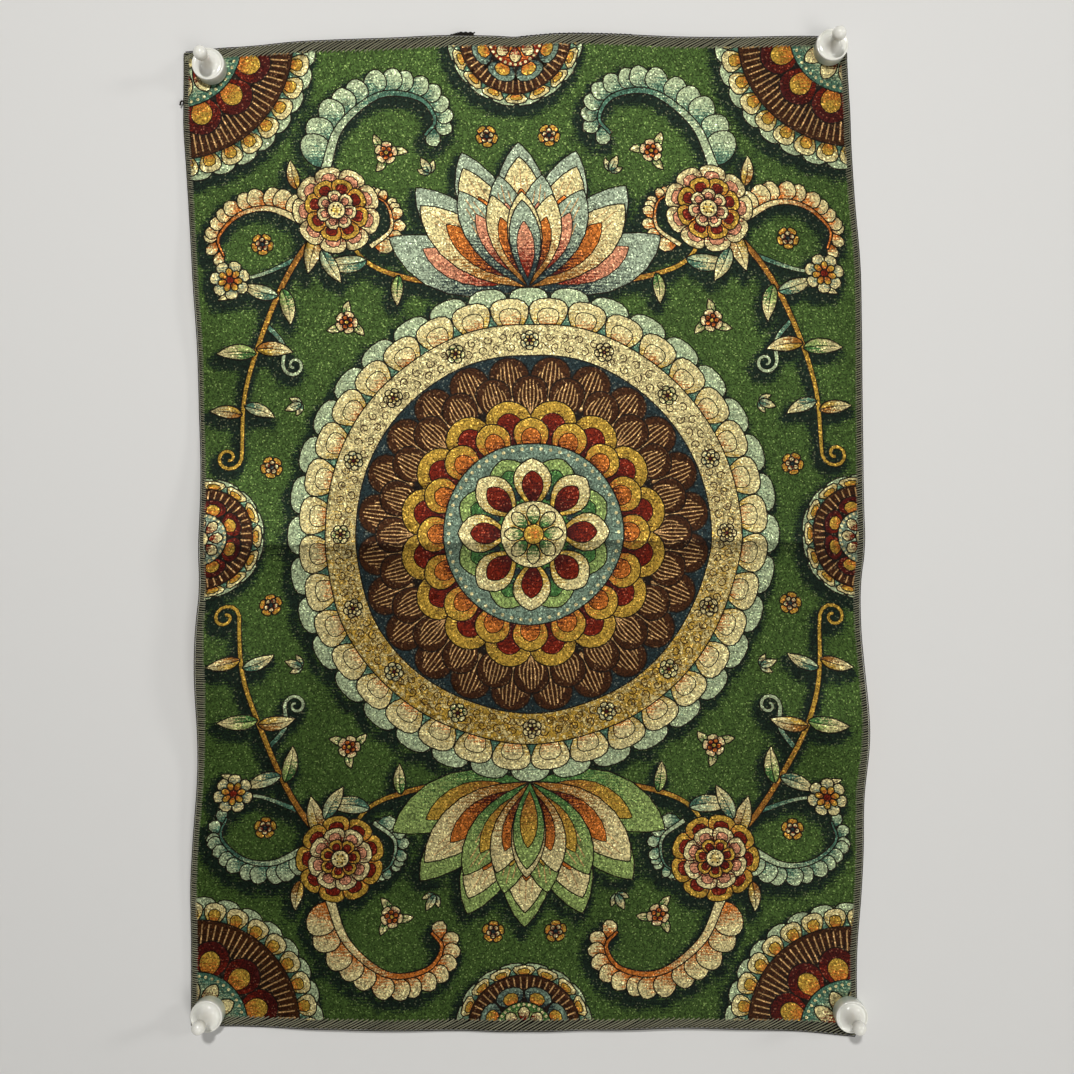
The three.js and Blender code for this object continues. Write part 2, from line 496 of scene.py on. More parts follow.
def leaf(pattern, foot, angle, length, threads, bend, broad=0.4):
    """A pointed leaf, lighter on one side of its midrib."""
    dark, light, tip = threads
    blade = Blade(foot, angle, length, length * broad, bend, 0.42, 0.95)
    pattern.edged(blade.outline, dark, tip, blade.shade)
    pattern.lay(grown(blade.left_half, -0.35), light, tip, blade.shade, RELIEF)
    pattern.line(blade.axis[1:-2], 0.5, "dark_line", 0.5)


def frond(pattern, corners, width, threads, side):
    """A curled leaf: overlapping lobes down one side of a curved spine, the smallest at its tip."""
    spine = smooth_line(corners, 2.0)
    ahead = np.degrees(np.unwrap(np.arctan2(*np.gradient(spine, axis=0).T[::-1])))
    count = max(3, int(np.linalg.norm(np.diff(spine, axis=0), axis=1).sum() / (width * 0.34)))
    for k in reversed(range(count)):
        share = 2 * (1 - 0.5 ** ((k + 0.5) / count))
        number = int(share * (len(spine) - 1))
        size = width * (1 - 0.5 * share)
        lobe = Blade(spine[number], ahead[number] + side * 62, size, size * 0.8, -side * 50, 0.62, 0.42)
        pattern.edged(lobe.outline, *threads, lobe.shade)
    pattern.edged(stroke(spine, width * 0.26, 0.35), *threads[::-1], along(spine[0], spine[-1]))


def flower(pattern, centre, radius, outer, inner, eye, petals, turn):
    """A round flower seen from the front."""
    petal_ring(pattern, centre, petals, radius * 0.3, radius, 1.1, outer, turn=turn, belly=0.62, sharp=0.4)
    turn += 180 / petals
    petal_ring(
        pattern, centre, petals, radius * 0.14, radius * 0.62, 1.0, inner, turn=turn, belly=0.6, sharp=0.5
    )
    pattern.edged(disc(centre, radius * 0.2), eye, width=0.5)


def peony(pattern, centre, radius, rings, eye):
    """A full flower: rings of hearted petals, each ring a step further in."""
    for number, (body, heart) in enumerate(rings):
        foot, tip = radius * (0.42 - 0.16 * number), radius * (1 - 0.27 * number)
        count, turn = 9 - number, 17.0 * number
        petal_ring(pattern, centre, count, foot, tip, 1.25, body, heart, turn=turn, belly=0.64, sharp=0.42)
    boss(pattern, centre, radius * 0.2, (eye, "cream"), 0, radius * 0.2)
    pearls(pattern, centre, radius * 0.11, 6, 0.5, "dark_line")


def lotus(pattern, foot, angle, size, threads):
    """A lotus seen from the side: rows of petals that fan out from its foot, the widest row at the back."""
    foot = np.array(foot, float)
    rows = ((7, 1.0, 168, 0), (5, 0.9, 124, 5), (4, 0.78, 80, 5), (3, 0.66, 44, 0), (1, 0.6, 0, 0))
    for row, (count, reach, spread, veins) in enumerate(rows):
        body, heart = threads[row % len(threads)]
        for k in sorted(range(count), key=lambda k: -abs(k - (count - 1) / 2)):
            lean = spread * (k / max(1, count - 1) - 0.5)
            length, width = size * reach, size * reach * 0.36
            petal(pattern, foot, angle + lean, length, width, body, heart, veins, 0.56, 0.85, -lean * 0.35)


def pearls(pattern, centre, ring, count, radius, thread="cream"):
    """A ring of dots."""
    for k in range(count):
        pattern.lay(disc(np.array(centre) + ring * heading(k * 360 / count), radius), thread, relief=RELIEF)


def vine(pattern, corners, width, threads, curl_radius=0.0, hand=1):
    """A stem through a few points, which may end in a curl."""
    line = smooth_line(corners)
    if curl_radius:
        ahead = line[-1] - line[-2]
        angle = math.degrees(math.atan2(ahead[1], ahead[0]))
        centre = line[-1] + heading(angle + hand * 90) * curl_radius
        line = np.concatenate([line, spiral(centre, curl_radius, 1.25, angle - hand * 90, hand)[1:]])
    pattern.lay(stroke(line, width + 1.1, 0.5), "dark_line")
    pattern.lay(stroke(line, width, 0.45), *threads, along(line[0], line[-1]), RELIEF)


# ---------------------------------------------------------------- the parts of the design


def draw_medallion(pattern):
    """The round flower in the middle, its rings laid from the widest in."""
    middle = (0.0, 0.0)
    round_tips = {"belly": 0.72, "sharp": 0.42}
    petal_ring(pattern, middle, 36, 92, 112, 1.0, TEALS, **round_tips)
    petal_ring(pattern, middle, 36, 88, 107, 1.04, CREAMS, ("orange", "cream"), turn=5, **round_tips)
    pattern.edged(disc(middle, 95), *CREAMS, along((0, -90), (0, 90)), tracery=1.0)
    pearls(pattern, middle, 93.2, 120, 0.75)
    draw_band_scrolls(pattern)
    boss(pattern, middle, 81, ("dark_line", "navy"), 60, 82)
    for foot, tip, turn in ((58, 80.3, 7.5), (52, 72, 0)):
        petal_ring(pattern, middle, 24, foot, tip, 1.0, ("brown",) * 2, None, 7, turn, belly=0.62, sharp=0.5)
    petal_ring(
        pattern, middle, 16, 38, 61, 1.1, ("dark_red", "gold"), REDS, turn=11.25, belly=0.6, sharp=0.55
    )
    petal_ring(pattern, middle, 16, 34, 53, 0.95, GOLDS, ("dark_red", "orange"), belly=0.6, sharp=0.6)
    boss(pattern, middle, 41, BLUES, 41, 10)
    pearls(pattern, middle, 38.7, 56, 0.8)
    petal_ring(pattern, middle, 8, 14, 36, 1.0, JADES, ("navy", "jade"), turn=22.5, belly=0.58, sharp=0.7)
    petal_ring(pattern, middle, 8, 11, 34.5, 0.98, CREAMS, REDS, belly=0.58, sharp=0.75)
    boss(pattern, middle, 15, CREAMS, 5, 15)
    petal_ring(pattern, middle, 8, 4, 13.5, 0.9, ("jade", "cream"), belly=0.55, sharp=0.7)
    boss(pattern, middle, 4.6, GOLDS, 0, 4.6)


def draw_band_scrolls(pattern):
    """Small flowers on the medallion's gold band, and fine curls between them."""
    colours = ("dark_red", "blue", "jade")
    steps = 80
    for k in range(steps):
        angle = k * 360 / steps
        if k % 5:
            for radius, hand in ((85.0, 1), (89.6, -1)):
                place = radius * heading(angle + 1.1 * hand)
                curl = spiral(place, 2.2, 1.2, angle + 90 * (k % 4), hand * (1 if k % 2 else -1))
                pattern.line(curl, 0.55, "brown", 0.6)
        else:
            petals = (colours[k // 5 % 3], "cream")
            flower(pattern, 88.0 * heading(angle), 4.4, petals, CREAMS, "dark_red", 6, angle)


def draw_rosette(pattern, centre, size, dark, bright):
    """A round flower, for a corner or the middle of an edge, that the cut of the cloth shows in part."""
    centre = np.array(centre, float)
    outer = max(14, int(size * 0.27) * 2)
    inner = max(8, int(size * 0.1) * 2)
    wide = {"belly": 0.7, "sharp": 0.45}
    petal_ring(pattern, centre, outer, size * 0.8, size, 1.05, TEALS, turn=180 / outer, **wide)
    petal_ring(pattern, centre, outer, size * 0.76, size * 0.96, 1.0, CREAMS, GOLDS, **wide)
    boss(pattern, centre, size * 0.82, ("brown", "dark_line"), size * 0.8, size * 0.5)
    for k in range(outer * 3):
        way = heading((k + 0.5) * 120 / outer)
        pattern.line(centre + np.outer(np.linspace(0.5, 0.79, 3) * size, way), VEIN, "gold_line")
    petal_ring(
        pattern, centre, inner, size * 0.34, size * 0.67, 1.08, dark, GOLDS, turn=180 / inner,
        belly=0.6, sharp=0.6,
    )
    boss(pattern, centre, size * 0.42, bright, size * 0.42, size * 0.2)
    pearls(pattern, centre, size * 0.385, inner * 4, 0.7)
    petal_ring(pattern, centre, inner, size * 0.12, size * 0.36, 0.95, ("red", "cream"), belly=0.6, sharp=0.7)
    boss(pattern, centre, size * 0.13, CREAMS, 0, size * 0.13)


def draw_quarter(pattern, crest, flanks, rings):
    """The upper right quarter: a corner's rosette, fronds and vines, and a peony with its rings of petals."""
    stem = ("deep_gold", "gold")
    draw_rosette(pattern, (150, 225), 60, ("red", "dark_red"), TEALS)
    frond(pattern, [(88, 166), (80, 186), (62, 200), (44, 198), (37, 188), (42, 181)], 17, crest, -1)
    frond(pattern, [(98, 142), (114, 150), (128, 148), (138, 138), (136, 129)], 13, flanks, 1)
    frond(pattern, [(70, 131), (60, 139), (61, 150), (68, 155)], 9, flanks, 1)
    vine(pattern, [(104, 126), (120, 120), (132, 118)], 2.0, TEALS)
    vine(pattern, [(120, 98), (112, 88), (112, 78)], 2.0, TEALS, 5, -1)
    vine(pattern, [(28, 112), (56, 117), (74, 126), (84, 146)], 2.6, stem)
    vine(pattern, [(84, 146), (102, 128), (117, 102), (129, 68), (132, 36)], 2.6, stem, 6, 1)
    greens = ((*JADES, "cream"), (*TEALS, "cream"), (*stem, "cream"))
    leaves = (
        (58, 118, -75, 14, -20), (72, 125, -20, 20, 35), (92, 138, -60, 20, -20), (111, 113, -110, 17, 20),
        (113, 110, 10, 17, 20), (124, 86, 175, 17, 25), (124, 84, 12, 18, -20), (130, 60, 190, 15, 25),
        (131, 56, 20, 15, -20), (128, 118, -50, 15, 25), (92, 130, -110, 17, -15), (101, 158, 70, 14, 20),
    )
    for k, (x, z, angle, length, bend) in enumerate(leaves):
        leaf(pattern, (x, z), angle, length, greens[k % 3], bend)
    flower(pattern, (134, 118), 9, ("blue", "cream"), GOLDS, "red", 7, 10)
    peony(pattern, (84, 148), 20, rings, "gold")


def draw_fillers(quarter, middle):
    """Small motifs in the ground that a quarter has left, the largest where there is most room."""
    random = np.random.default_rng(11)
    nearest, right, upper = FILLER_EDGES
    columns, rows = (np.arange(nearest, furthest + 1, FILLER_STEP) for furthest in (right, upper))
    places = np.array([(x, z) for x in columns for z in rows])
    places += random.uniform(-1.2, 1.2, places.shape)
    from_motifs = distances(np.concatenate([middle, quarter.places()]))(places)
    x, z = places.T
    room = np.minimum.reduce([from_motifs, x, right - x, z, upper - z])
    for draw, reach, margin in ((draw_sprig, 9.5, 5.0), (draw_floret, 6.0, 5.0), (draw_leaflet, 5.2, 4.0)):
        for k in random.permutation(len(places)):
            if room[k] >= reach + margin:
                draw(quarter, places[k], reach, random.uniform(0, 360))
                room = np.minimum(room, np.linalg.norm(places - places[k], axis=1) - reach)


def draw_sprig(pattern, place, reach, turn):
    for k in range(3):
        way = turn + k * 120
        leaf(pattern, place + 2.5 * heading(way), way, reach * 0.8, (*JADES, "cream"), 30, 0.55)
    flower(pattern, place, reach * 0.55, ("pink", "cream"), ("red", "orange"), "gold", 5, turn)


def draw_floret(pattern, place, reach, turn):
    flower(pattern, place, reach * 0.85, GOLDS, ("red", "cream"), "navy", 5, turn)


def draw_leaflet(pattern, place, reach, turn):
    foot = place - heading(turn) * reach * 0.6
    for lean, length in ((-55, 1.2), (55, 1.2), (0, 1.6)):
        leaf(pattern, foot, turn + lean, reach * length, (*TEALS, "cream"), -lean * 0.4, 0.5)


def draw_middle(pattern):
    """The motifs that lie over the rest: the lotuses, the rosettes of the four edges, and the medallion."""
    golden = (("deep_gold", "cream"), ("dark_red", "orange"))
    lotus(pattern, (0, 112), 90, 66, ((("navy", "pale_blue"), ("red", "pink")), golden))
    lotus(pattern, (0, -112), -90, 66, ((JADES, ("deep_gold", "gold")), golden))
    draw_rosette(pattern, (0, 225), 31, ("navy", "blue"), ("red", "orange"))
    draw_rosette(pattern, (0, -225), 31, ("navy", "blue"), JADES)
    for side in (-150, 150):
        draw_rosette(pattern, (side, 0), 28, ("red", "dark_red"), BLUES)
    draw_medallion(pattern)


def draw_pattern():
    """The whole design: the ground first, then the motifs from the back to the front."""
    rosy, golden = (("red", "cream"), ("dark_red", "pink")), (GOLDS, REDS)
    middle, upper, lower = Pattern(), Pattern(), Pattern()
    draw_middle(middle)
    draw_quarter(upper, TEALS, ("orange", "cream"), (rosy, golden, rosy))
    draw_quarter(lower, ("orange", "cream"), TEALS, (golden, rosy, golden))
    from_motifs = distances(np.concatenate([
        middle.places(), upper.places(), upper.places() * (-1, 1), lower.places() * (1, -1), -lower.places()
    ]))

    def hatched(points):
        share = (from_motifs(points + HATCH_LEAN) - HATCH_SOLID) / HATCH_REACH
        return np.clip(share, 0, 1) ** HATCH_FALL

    draw_fillers(upper, middle.places())
    draw_fillers(lower, middle.places() * (1, -1))

    pattern = Pattern()
    # under everything, and the colour of the cut edge: near black, partly painted shade
    pattern.shapes.append(Shape(CORNERS, "edge_ground_and_shade", "edge_ground_and_shade", plain, 0.0))
    pattern.lay(CORNERS, "ground_dark", "ground", hatched)
    pattern.mirror(upper, [(-1, 1), (1, 1)])
    pattern.mirror(lower, [(-1, -1), (1, -1)])
    pattern.shapes += middle.shapes
    draw_edge_bands(pattern)
    return pattern


def draw_edge_bands(pattern):
    """The near-black ground under the overlock threads, along each side: the cloth's dark edge and painted
    shade between the stitches.
    """
    for side in SIDES:
        run = np.linspace(side.length, 0, 33)
        inner = side.flat(run, side.width(run) - 0.5)
        pattern.lay(np.concatenate([side.flat((0, side.length), 0), inner]), "edge_ground_and_shade")


# ---------------------------------------------------------------- weaving the sheet

ATTRIBUTE_FIELDS = {"FLOAT": "value", "FLOAT_COLOR": "color", "FLOAT_VECTOR": "vector"}


def rim_points():
    """The cut edge of the flat cloth, anticlockwise from its lower left corner."""
    rim = []
    for corner, following in zip(CORNERS, np.roll(CORNERS, -1, axis=0)):
        span = following - corner
        count = int(round(np.abs(span).sum() / RIM_STEP))
        rim.append(corner + np.arange(count)[:, None] / count * span)
    return np.concatenate(rim)


def grid_points(step):
    """Points all over the flat cloth, off its rim, with closer ones at the fold and near the sides."""
    rows = np.arange(-HEIGHT / 2 + step / 2, HEIGHT / 2 - step / 4, step)
    columns = np.arange(-WIDTH / 2 + step / 2, WIDTH / 2 - step, step)
    points = [(x + step / 2 * (k % 2), z) for k, z in enumerate(rows) for x in columns]
    points += [(x, z) for z in CREASE_ROWS for x in columns]
    for inwards in NEAR_EDGES:
        right, upper = WIDTH / 2 - inwards, HEIGHT / 2 - inwards
        points += [(x, z) for x in (-right, right) for z in np.arange(-upper, upper, RIM_STEP * 1.5)]
        points += [(x, z) for z in (-upper, upper) for x in np.arange(-right, right, RIM_STEP * 1.5)]
    return np.array(points)


def inside(outline, points):
    """Which points an outline winds round."""
    start, end = outline, np.roll(outline, -1, axis=0)
    x, z = points[:, :1], points[:, 1:]
    rises = (start[:, 1] <= z) & (end[:, 1] > z)
    falls = (start[:, 1] > z) & (end[:, 1] <= z)
    left = (end[:, 0] - start[:, 0]) * (z - start[:, 1]) - (x - start[:, 0]) * (end[:, 1] - start[:, 1])
    return ((rises & (left > 0)).sum(axis=1) - (falls & (left < 0)).sum(axis=1)) != 0


def topmost(outlines, points, above):
    """The number of the last outline, past the one above which it is sought, that winds round each point."""
    top = np.zeros(len(points), int)
    order = np.argsort(points[:, 0])
    sorted_x = points[order, 0]
    for number, outline in enumerate(outlines, 1):
        first, last = np.searchsorted(sorted_x, (outline[:, 0].min(), outline[:, 0].max()))
        near = order[first:last]
        level = points[near, 1]
        near = near[(level > outline[:, 1].min()) & (level < outline[:, 1].max()) & (above[near] < number)]
        top[near[inside(outline, points[near])]] = number
    return top


def seen_edges(outlines):
    """The outlines' points, and the edges between them that no later outline hides."""
    sizes = [len(outline) for outline in outlines]
    points = np.concatenate(outlines)
    owner = np.repeat(np.arange(1, len(outlines) + 1), sizes)
    starts = np.cumsum([0] + sizes[:-1])
    following = np.concatenate([start + np.roll(np.arange(size), -1) for start, size in zip(starts, sizes)])
    middles = (points + points[following]) / 2
    bare, bare_middle = (topmost(outlines, places, owner) == 0 for places in (points, middles))
    seen = np.flatnonzero(bare | bare[following] | bare_middle)
    edges = np.stack([seen, following[seen]], axis=1)
    used, renumbered = np.unique(edges, return_inverse=True)
    return points[used], renumbered.reshape(-1, 2)


def woven(pattern, step):
    """Flat triangles that no outline crosses: their points, their corners, and each one's topmost shape."""
    outlines = [shape.outline for shape in pattern.shapes[1:]]
    rim = rim_points()
    numbers = np.arange(len(rim))
    seen_points, seen = seen_edges(outlines)
    points = [Vector(place) for place in np.concatenate([rim, seen_points, grid_points(step)])]
    edges = np.concatenate([np.stack([numbers, np.roll(numbers, -1)], axis=1), seen + len(rim)])
    flat, _, triangles, *_ = delaunay_2d_cdt(points, edges.tolist(), [], 0, 1e-4, False)
    flat, triangles = np.array([tuple(place) for place in flat]), np.array(triangles)
    middles = flat[triangles].mean(axis=1)
    return flat, triangles, topmost(outlines, middles, np.zeros(len(middles), int))


def rim_loop_of(flat):
    """The numbers of the points on the cut edge, anticlockwise from the lower left corner."""
    near = 1e-3
    x, z = flat[:, 0], flat[:, 1]
    on_rim = np.flatnonzero((np.abs(x) > WIDTH / 2 - near) | (np.abs(z) > HEIGHT / 2 - near))
    x, z = x[on_rim], z[on_rim]
    run = np.select(
        [z < near - HEIGHT / 2, x > WIDTH / 2 - near, z > HEIGHT / 2 - near],
        [WIDTH / 2 + x, WIDTH + HEIGHT / 2 + z, WIDTH + HEIGHT + WIDTH / 2 - x],
        2 * WIDTH + HEIGHT + HEIGHT / 2 - z,
    )
    return on_rim[np.argsort(run)]


def rim_triangles(front, back):
    """The triangles of the cut edge, between the loops of points on the face and on the back."""
    front_after, back_after = np.roll(front, -1), np.roll(back, -1)
    return np.stack([front, back, back_after, front, back_after, front_after], axis=1).reshape(-1, 3)


def mesh_object(name, places, faces, smooth=True):
    """A new piece from points in the frame's metres."""
    mesh = bpy.data.meshes.new(name)
    mesh.from_pydata([tuple(place) for place in places], [], [tuple(map(int, face)) for face in faces])
    if smooth:
        mesh.shade_smooth()
    else:
        mesh.shade_flat()
    piece = bpy.data.objects.new(name, mesh)
    bpy.context.scene.collection.objects.link(piece)
    return piece


def mark(mesh, name, kind, domain, values):
    """Stores a value at each point or corner of a mesh."""
    attribute = mesh.attributes.new(name, kind, domain)
    attribute.data.foreach_set(ATTRIBUTE_FIELDS[kind], values.ravel())


def crease(flat):
    """How far the fold across the middle still stands out of the face."""
    above = flat[:, 1] - CREASE_Z
    reach = np.where(above > 0, *CREASE_REACH)
    height = np.interp(WIDTH / 2 - np.abs(flat[:, 0]), CREASE_ENDS, (0, CREASE_HEIGHT))
    return height * np.exp(-np.abs(above) / reach)


def mean_relief(pattern, points, triangles, top):
    """How far each point is raised, from the shapes round it."""
    reliefs = np.array([shape.relief for shape in pattern.shapes])[top]
    raised, touching = np.zeros(len(points)), np.zeros(len(points))
    for corners in triangles.T:
        np.add.at(raised, corners, reliefs)
        np.add.at(touching, corners, 1)
    return raised / np.maximum(touching, 1)


def weave_cloth(pattern):
    """The cloth as one closed sheet: its patterned face, its back, and the cut edge between them."""
    reverse = pattern.reverse()
    flat, faces, top = woven(pattern, FACE_GRID)
    back_flat, back_faces, back_top = woven(reverse, BACK_GRID)
    back_faces = back_faces[:, ::-1]
    rim_faces = rim_triangles(rim_loop_of(flat), rim_loop_of(back_flat) + len(flat))

    face_places = DRAPE.over(flat, mean_relief(pattern, flat, faces, top) + crease(flat))
    back_places = DRAPE.over(back_flat, crease(back_flat) - THICKNESS)
    triangles = np.concatenate([faces, back_faces + len(flat), rim_faces])
    piece = mesh_object("woven_cloth", np.concatenate([face_places, back_places]), triangles)

    bare = np.zeros(len(rim_faces), int)
    values = [
        thread_values(pattern, flat[faces], top),
        thread_values(reverse, back_flat[back_faces], back_top),
        thread_values(pattern, flat[np.zeros_like(rim_faces)], bare),
    ]
    dress_mesh(piece.data, [np.concatenate(column) for column in zip(*values)], flat, back_flat)
    unfold_sheet(piece.data, flat[faces], back_flat[back_faces], len(rim_faces) // 2)
    return piece


def thread_values(pattern, corners, top):
    """Both threads' colours, the second one's share and the scrollwork, at each corner of each triangle."""
    corners = corners.reshape(-1, 2)
    colours = np.empty((len(corners), 2, 4))
    levels = np.zeros((len(corners), 2))
    corner_top = np.repeat(top, 3)
    order = np.argsort(corner_top, kind="stable")
    bounds = np.searchsorted(corner_top[order], np.arange(len(pattern.shapes) + 1))
    for shape, start, stop in zip(pattern.shapes, bounds[:-1], bounds[1:]):
        if start < stop:
            members = order[start:stop]
            colours[members] = linear(shape.first), linear(shape.second)
            levels[members, 0] = shape.shade(corners[members])
            levels[members, 1] = shape.tracery
    return colours[:, 0], colours[:, 1], levels[:, 0], levels[:, 1]


def dress_mesh(mesh, values, flat, back_flat):
    """Puts the threads on the corners, and the place of each point on the flat cloth."""
    names, kinds = ("first_thread", "second_thread", "share", "tracery"), ["FLOAT_COLOR"] * 2 + ["FLOAT"] * 2
    for name, kind, column in zip(names, kinds, values):
        mark(mesh, name, kind, "CORNER", column)
    level = np.repeat((0, 1), (len(flat), len(back_flat)))
    places = np.column_stack([np.concatenate([flat, back_flat]) * MM, level])
    mark(mesh, "flat_place", "FLOAT_VECTOR", "POINT", places)


def unfold_sheet(mesh, face_corners, back_corners, rim_count):
    """A texture map with the flat face beside the flat back, and the cut edge in rows over them."""
    gap = 3.0
    span = 2 * WIDTH + 4 * gap
    face = face_corners.reshape(-1, 2) + (WIDTH / 2 + gap, HEIGHT / 2 + gap)
    back = back_corners.reshape(-1, 2) * (-1, 1) + (WIDTH * 1.5 + 3 * gap, HEIGHT / 2 + gap)
    start = np.arange(rim_count) * RIM_STEP
    row = start // (2 * WIDTH)
    across, up = start - row * 2 * WIDTH + gap, HEIGHT + 4 * gap + row * 3 * gap
    steps = np.array([(0, 0), (0, 1), (1, 1), (0, 0), (1, 1), (1, 0)])
    rim = np.stack([across, up], axis=1)[:, None] + steps * (RIM_STEP, gap)
    places = np.concatenate([face, back, rim.reshape(-1, 2)]) / span
    mesh.uv_layers.new(name="OFBake").data.foreach_set("uv", places.ravel())


# ---------------------------------------------------------------- the overlocked edge

STRAND_SIDES = 5
# one stitch from the band's inner edge on the face, round the cut edge, to the band's inner edge on the back:
# share of the band's width, distance past the cut edge, height over the face, share of the lean, how upright
STITCH_ROUTE = np.array([
    (1.06, 0.00, -0.10, 0.00, 1.0),
    (0.97, 0.00, 0.20, 0.06, 1.0),
    (0.66, 0.00, 0.30, 0.34, 1.0),
    (0.33, 0.00, 0.30, 0.67, 1.0),
    (0.05, 0.05, 0.22, 0.96, 0.8),
    (0.00, 0.34, -0.08, 1.00, 0.4),
    (0.00, 0.42, -0.45, 1.00, 0.0),
    (0.00, 0.30, -0.90, 1.00, -0.5),
    (0.08, 0.00, -1.10, 1.05, -1.0),
    (0.55, 0.00, -1.12, 1.40, -1.0),
    (1.00, 0.00, -0.70, 1.75, -1.0),
])
STITCH_HEIGHT = 0.42
STITCH_SPREAD = 0.07  # how unevenly they are placed
REACH_SPREAD = 0.03  # and how much their reach in from the edge varies, as a share
ENDS_CLEAR = 0.2  # they stop this far from the corners
# the free end of the lock thread on the left edge: how far off the edge, and how far up from LOOSE_RUN
LOOSE_END = ((0.1, -0.3), (0.5, 0.7), (1.2, 1.45), (1.75, 0.9), (2.1, -0.5))
LOOSE_RUN = 426.6
# where black threads lie doubled on the top edge: from, to, and how far they stand off the edge
SEAMS = ((120.5, 131.6, 0.6), (122.0, 131.3, 1.15), (124.0, 131.9, 1.7), (152.0, 203.0, 0.45))


def ring_faces(numbers):
    """The four-sided faces between rings of points, each ring a row of the points' numbers."""
    here, after = numbers[..., :-1, :], numbers[..., 1:, :]
    corners = [here, np.roll(here, -1, axis=-1), np.roll(after, -1, axis=-1), after]
    return np.stack(corners, axis=-1).reshape(-1, 4).tolist()


def tubes(name, paths, ups, widths, height):
    """Strands as one mesh: a flattened tube along each path, with its ends closed."""
    count, length = paths.shape[:2]
    ahead = unit(np.gradient(paths, axis=1))
    across = unit(np.cross(ahead, ups))
    upright = np.cross(across, ahead)
    turns = np.arange(STRAND_SIDES) * TURN / STRAND_SIDES
    wide = np.broadcast_to(widths, count)[:, None, None, None]
    sideways = across[:, :, None] * np.cos(turns)[:, None] * wide
    upwards = upright[:, :, None] * np.sin(turns)[:, None] * height
    places = (paths[:, :, None] + (sideways + upwards) * MM / 2).reshape(-1, 3)
    numbers = np.arange(len(places)).reshape(count, length, STRAND_SIDES)
    ends = np.concatenate([numbers[:, 0, ::-1], numbers[:, -1]])
    piece = mesh_object(name, places, ring_faces(numbers) + ends.tolist())

    steps = np.linalg.norm(np.diff(paths, axis=1, prepend=paths[:, :1]), axis=2)
    runs = np.cumsum(steps, axis=1)[:, :, None] / MM
    chances = np.random.default_rng(5).random(count)[:, None, None]
    strand = np.stack(np.broadcast_arrays(runs, turns / TURN, chances), axis=-1)
    mark(piece.data, "strand", "FLOAT_VECTOR", "POINT", strand)
    unroll_strands(piece.data, count, length)
    return piece


def unroll_strands(mesh, count, length):
    """A texture map with each strand unrolled in its own cell of a grid."""
    cells = math.ceil(math.sqrt(count))
    strand = np.arange(count)
    corner = np.stack([strand % cells, strand // cells], axis=1)[:, None, None, None]
    along_it, around = np.meshgrid(np.arange(length - 1), np.arange(STRAND_SIDES), indexing="ij")
    steps = np.array([(0, 0), (0, 1), (1, 1), (1, 0)])
    inner = (np.stack([along_it, around], axis=-1)[:, :, None] + steps) / (length - 1, STRAND_SIDES)
    sides = corner + 0.1 + 0.8 * inner[None]
    rim = np.linspace(0.1, 0.9, STRAND_SIDES)
    ends = [corner[:, 0, 0] + np.stack([np.full(STRAND_SIDES, edge), rim], axis=1) for edge in (0.02, 0.98)]
    places = np.concatenate([part.reshape(-1, 2) for part in (sides, *ends)]) / cells
    mesh.uv_layers.new(name="OFBake").data.foreach_set("uv", places.ravel())


def edge_strand(side, run, inwards, beyond, height, upright):
    """Places and up directions round one side's edge, from how far along, in, past and over it they are."""
    values = np.broadcast_arrays(run, inwards, beyond, height, upright)
    shape = (*values[0].shape, 3)
    run, inwards, beyond, height, upright = (value.reshape(-1, 1) for value in values)
    flat = side.flat(run[:, 0], inwards[:, 0])
    places, up = DRAPE.at(flat), DRAPE.normals(flat)
    out = unit(places - DRAPE.at(flat + side.inward))
    places = places + (out * beyond + up * height) * MM
    ups = up * upright + out * np.sqrt(1 - upright**2)
    return places.reshape(shape), ups.reshape(shape)


def overlock_stitches():
    """The grey threads that lie side by side over the cut edge."""
    random = np.random.default_rng(3)
    share, beyond, height, lean, upright = STITCH_ROUTE.T
    strands, threads = [], []
    for side in SIDES:
        count = int(side.length / side.pitch)
        starts = (np.arange(count) + 0.5) * side.length / count - side.lean * 0.5
        starts = starts + random.normal(0, STITCH_SPREAD, count)
        widths = side.width(starts) * random.normal(1, REACH_SPREAD, count)
        run = np.clip(starts[:, None] + lean * side.lean, ENDS_CLEAR, side.length - ENDS_CLEAR)
        strands.append(edge_strand(side, run, widths[:, None] * share, beyond, height, upright))
        threads.append(np.full(count, side.thread))
    paths, ups = (np.concatenate(part) for part in zip(*strands))
    return tubes("overlock_stitches", paths, ups, np.concatenate(threads), STITCH_HEIGHT)


def lock_threads():
    """The black threads that run along the cut edges and lock the stitches."""
    pieces = []
    for name, side in zip(("top", "right", "bottom", "left"), SIDES):
        count = int(side.length / side.pitch) * 2
        run = np.linspace(0.3, side.length - 0.3, count)
        wave = np.tile((0.0, 1.0), count // 2)
        places, ups = edge_strand(side, run, 0, 0.42 + 0.28 * wave, -0.05 - 0.7 * wave, 0.3)
        pieces.append(tubes(f"lock_thread_{name}", places[None], ups[None], 0.5, 0.45))
    return pieces


def seam_threads():
    """The doubled black threads on the top edge."""
    start, end, beyond = np.array(SEAMS).T
    run = np.linspace(start, end, 60, axis=1)
    wave = 0.14 * np.sin(run * TURN / SIDES[0].pitch)
    paths, ups = edge_strand(SIDES[0], run, 0, beyond[:, None] + wave, -0.1 + wave, 0.4)
    return tubes("seam_threads", paths, ups, 0.7, 0.62)


def loose_thread():
    """The free end of the lock thread, a small hook off the left edge."""
    beyond, rise = smooth_line(LOOSE_END, 0.3).T
    places, ups = edge_strand(SIDES[3], LOOSE_RUN + rise, 0, beyond, 0.1, 1)
    return tubes("loose_thread_end", places[None], ups[None], 0.85, 0.85)


# ---------------------------------------------------------------- the magnets

MAGNET_TURNS = 64
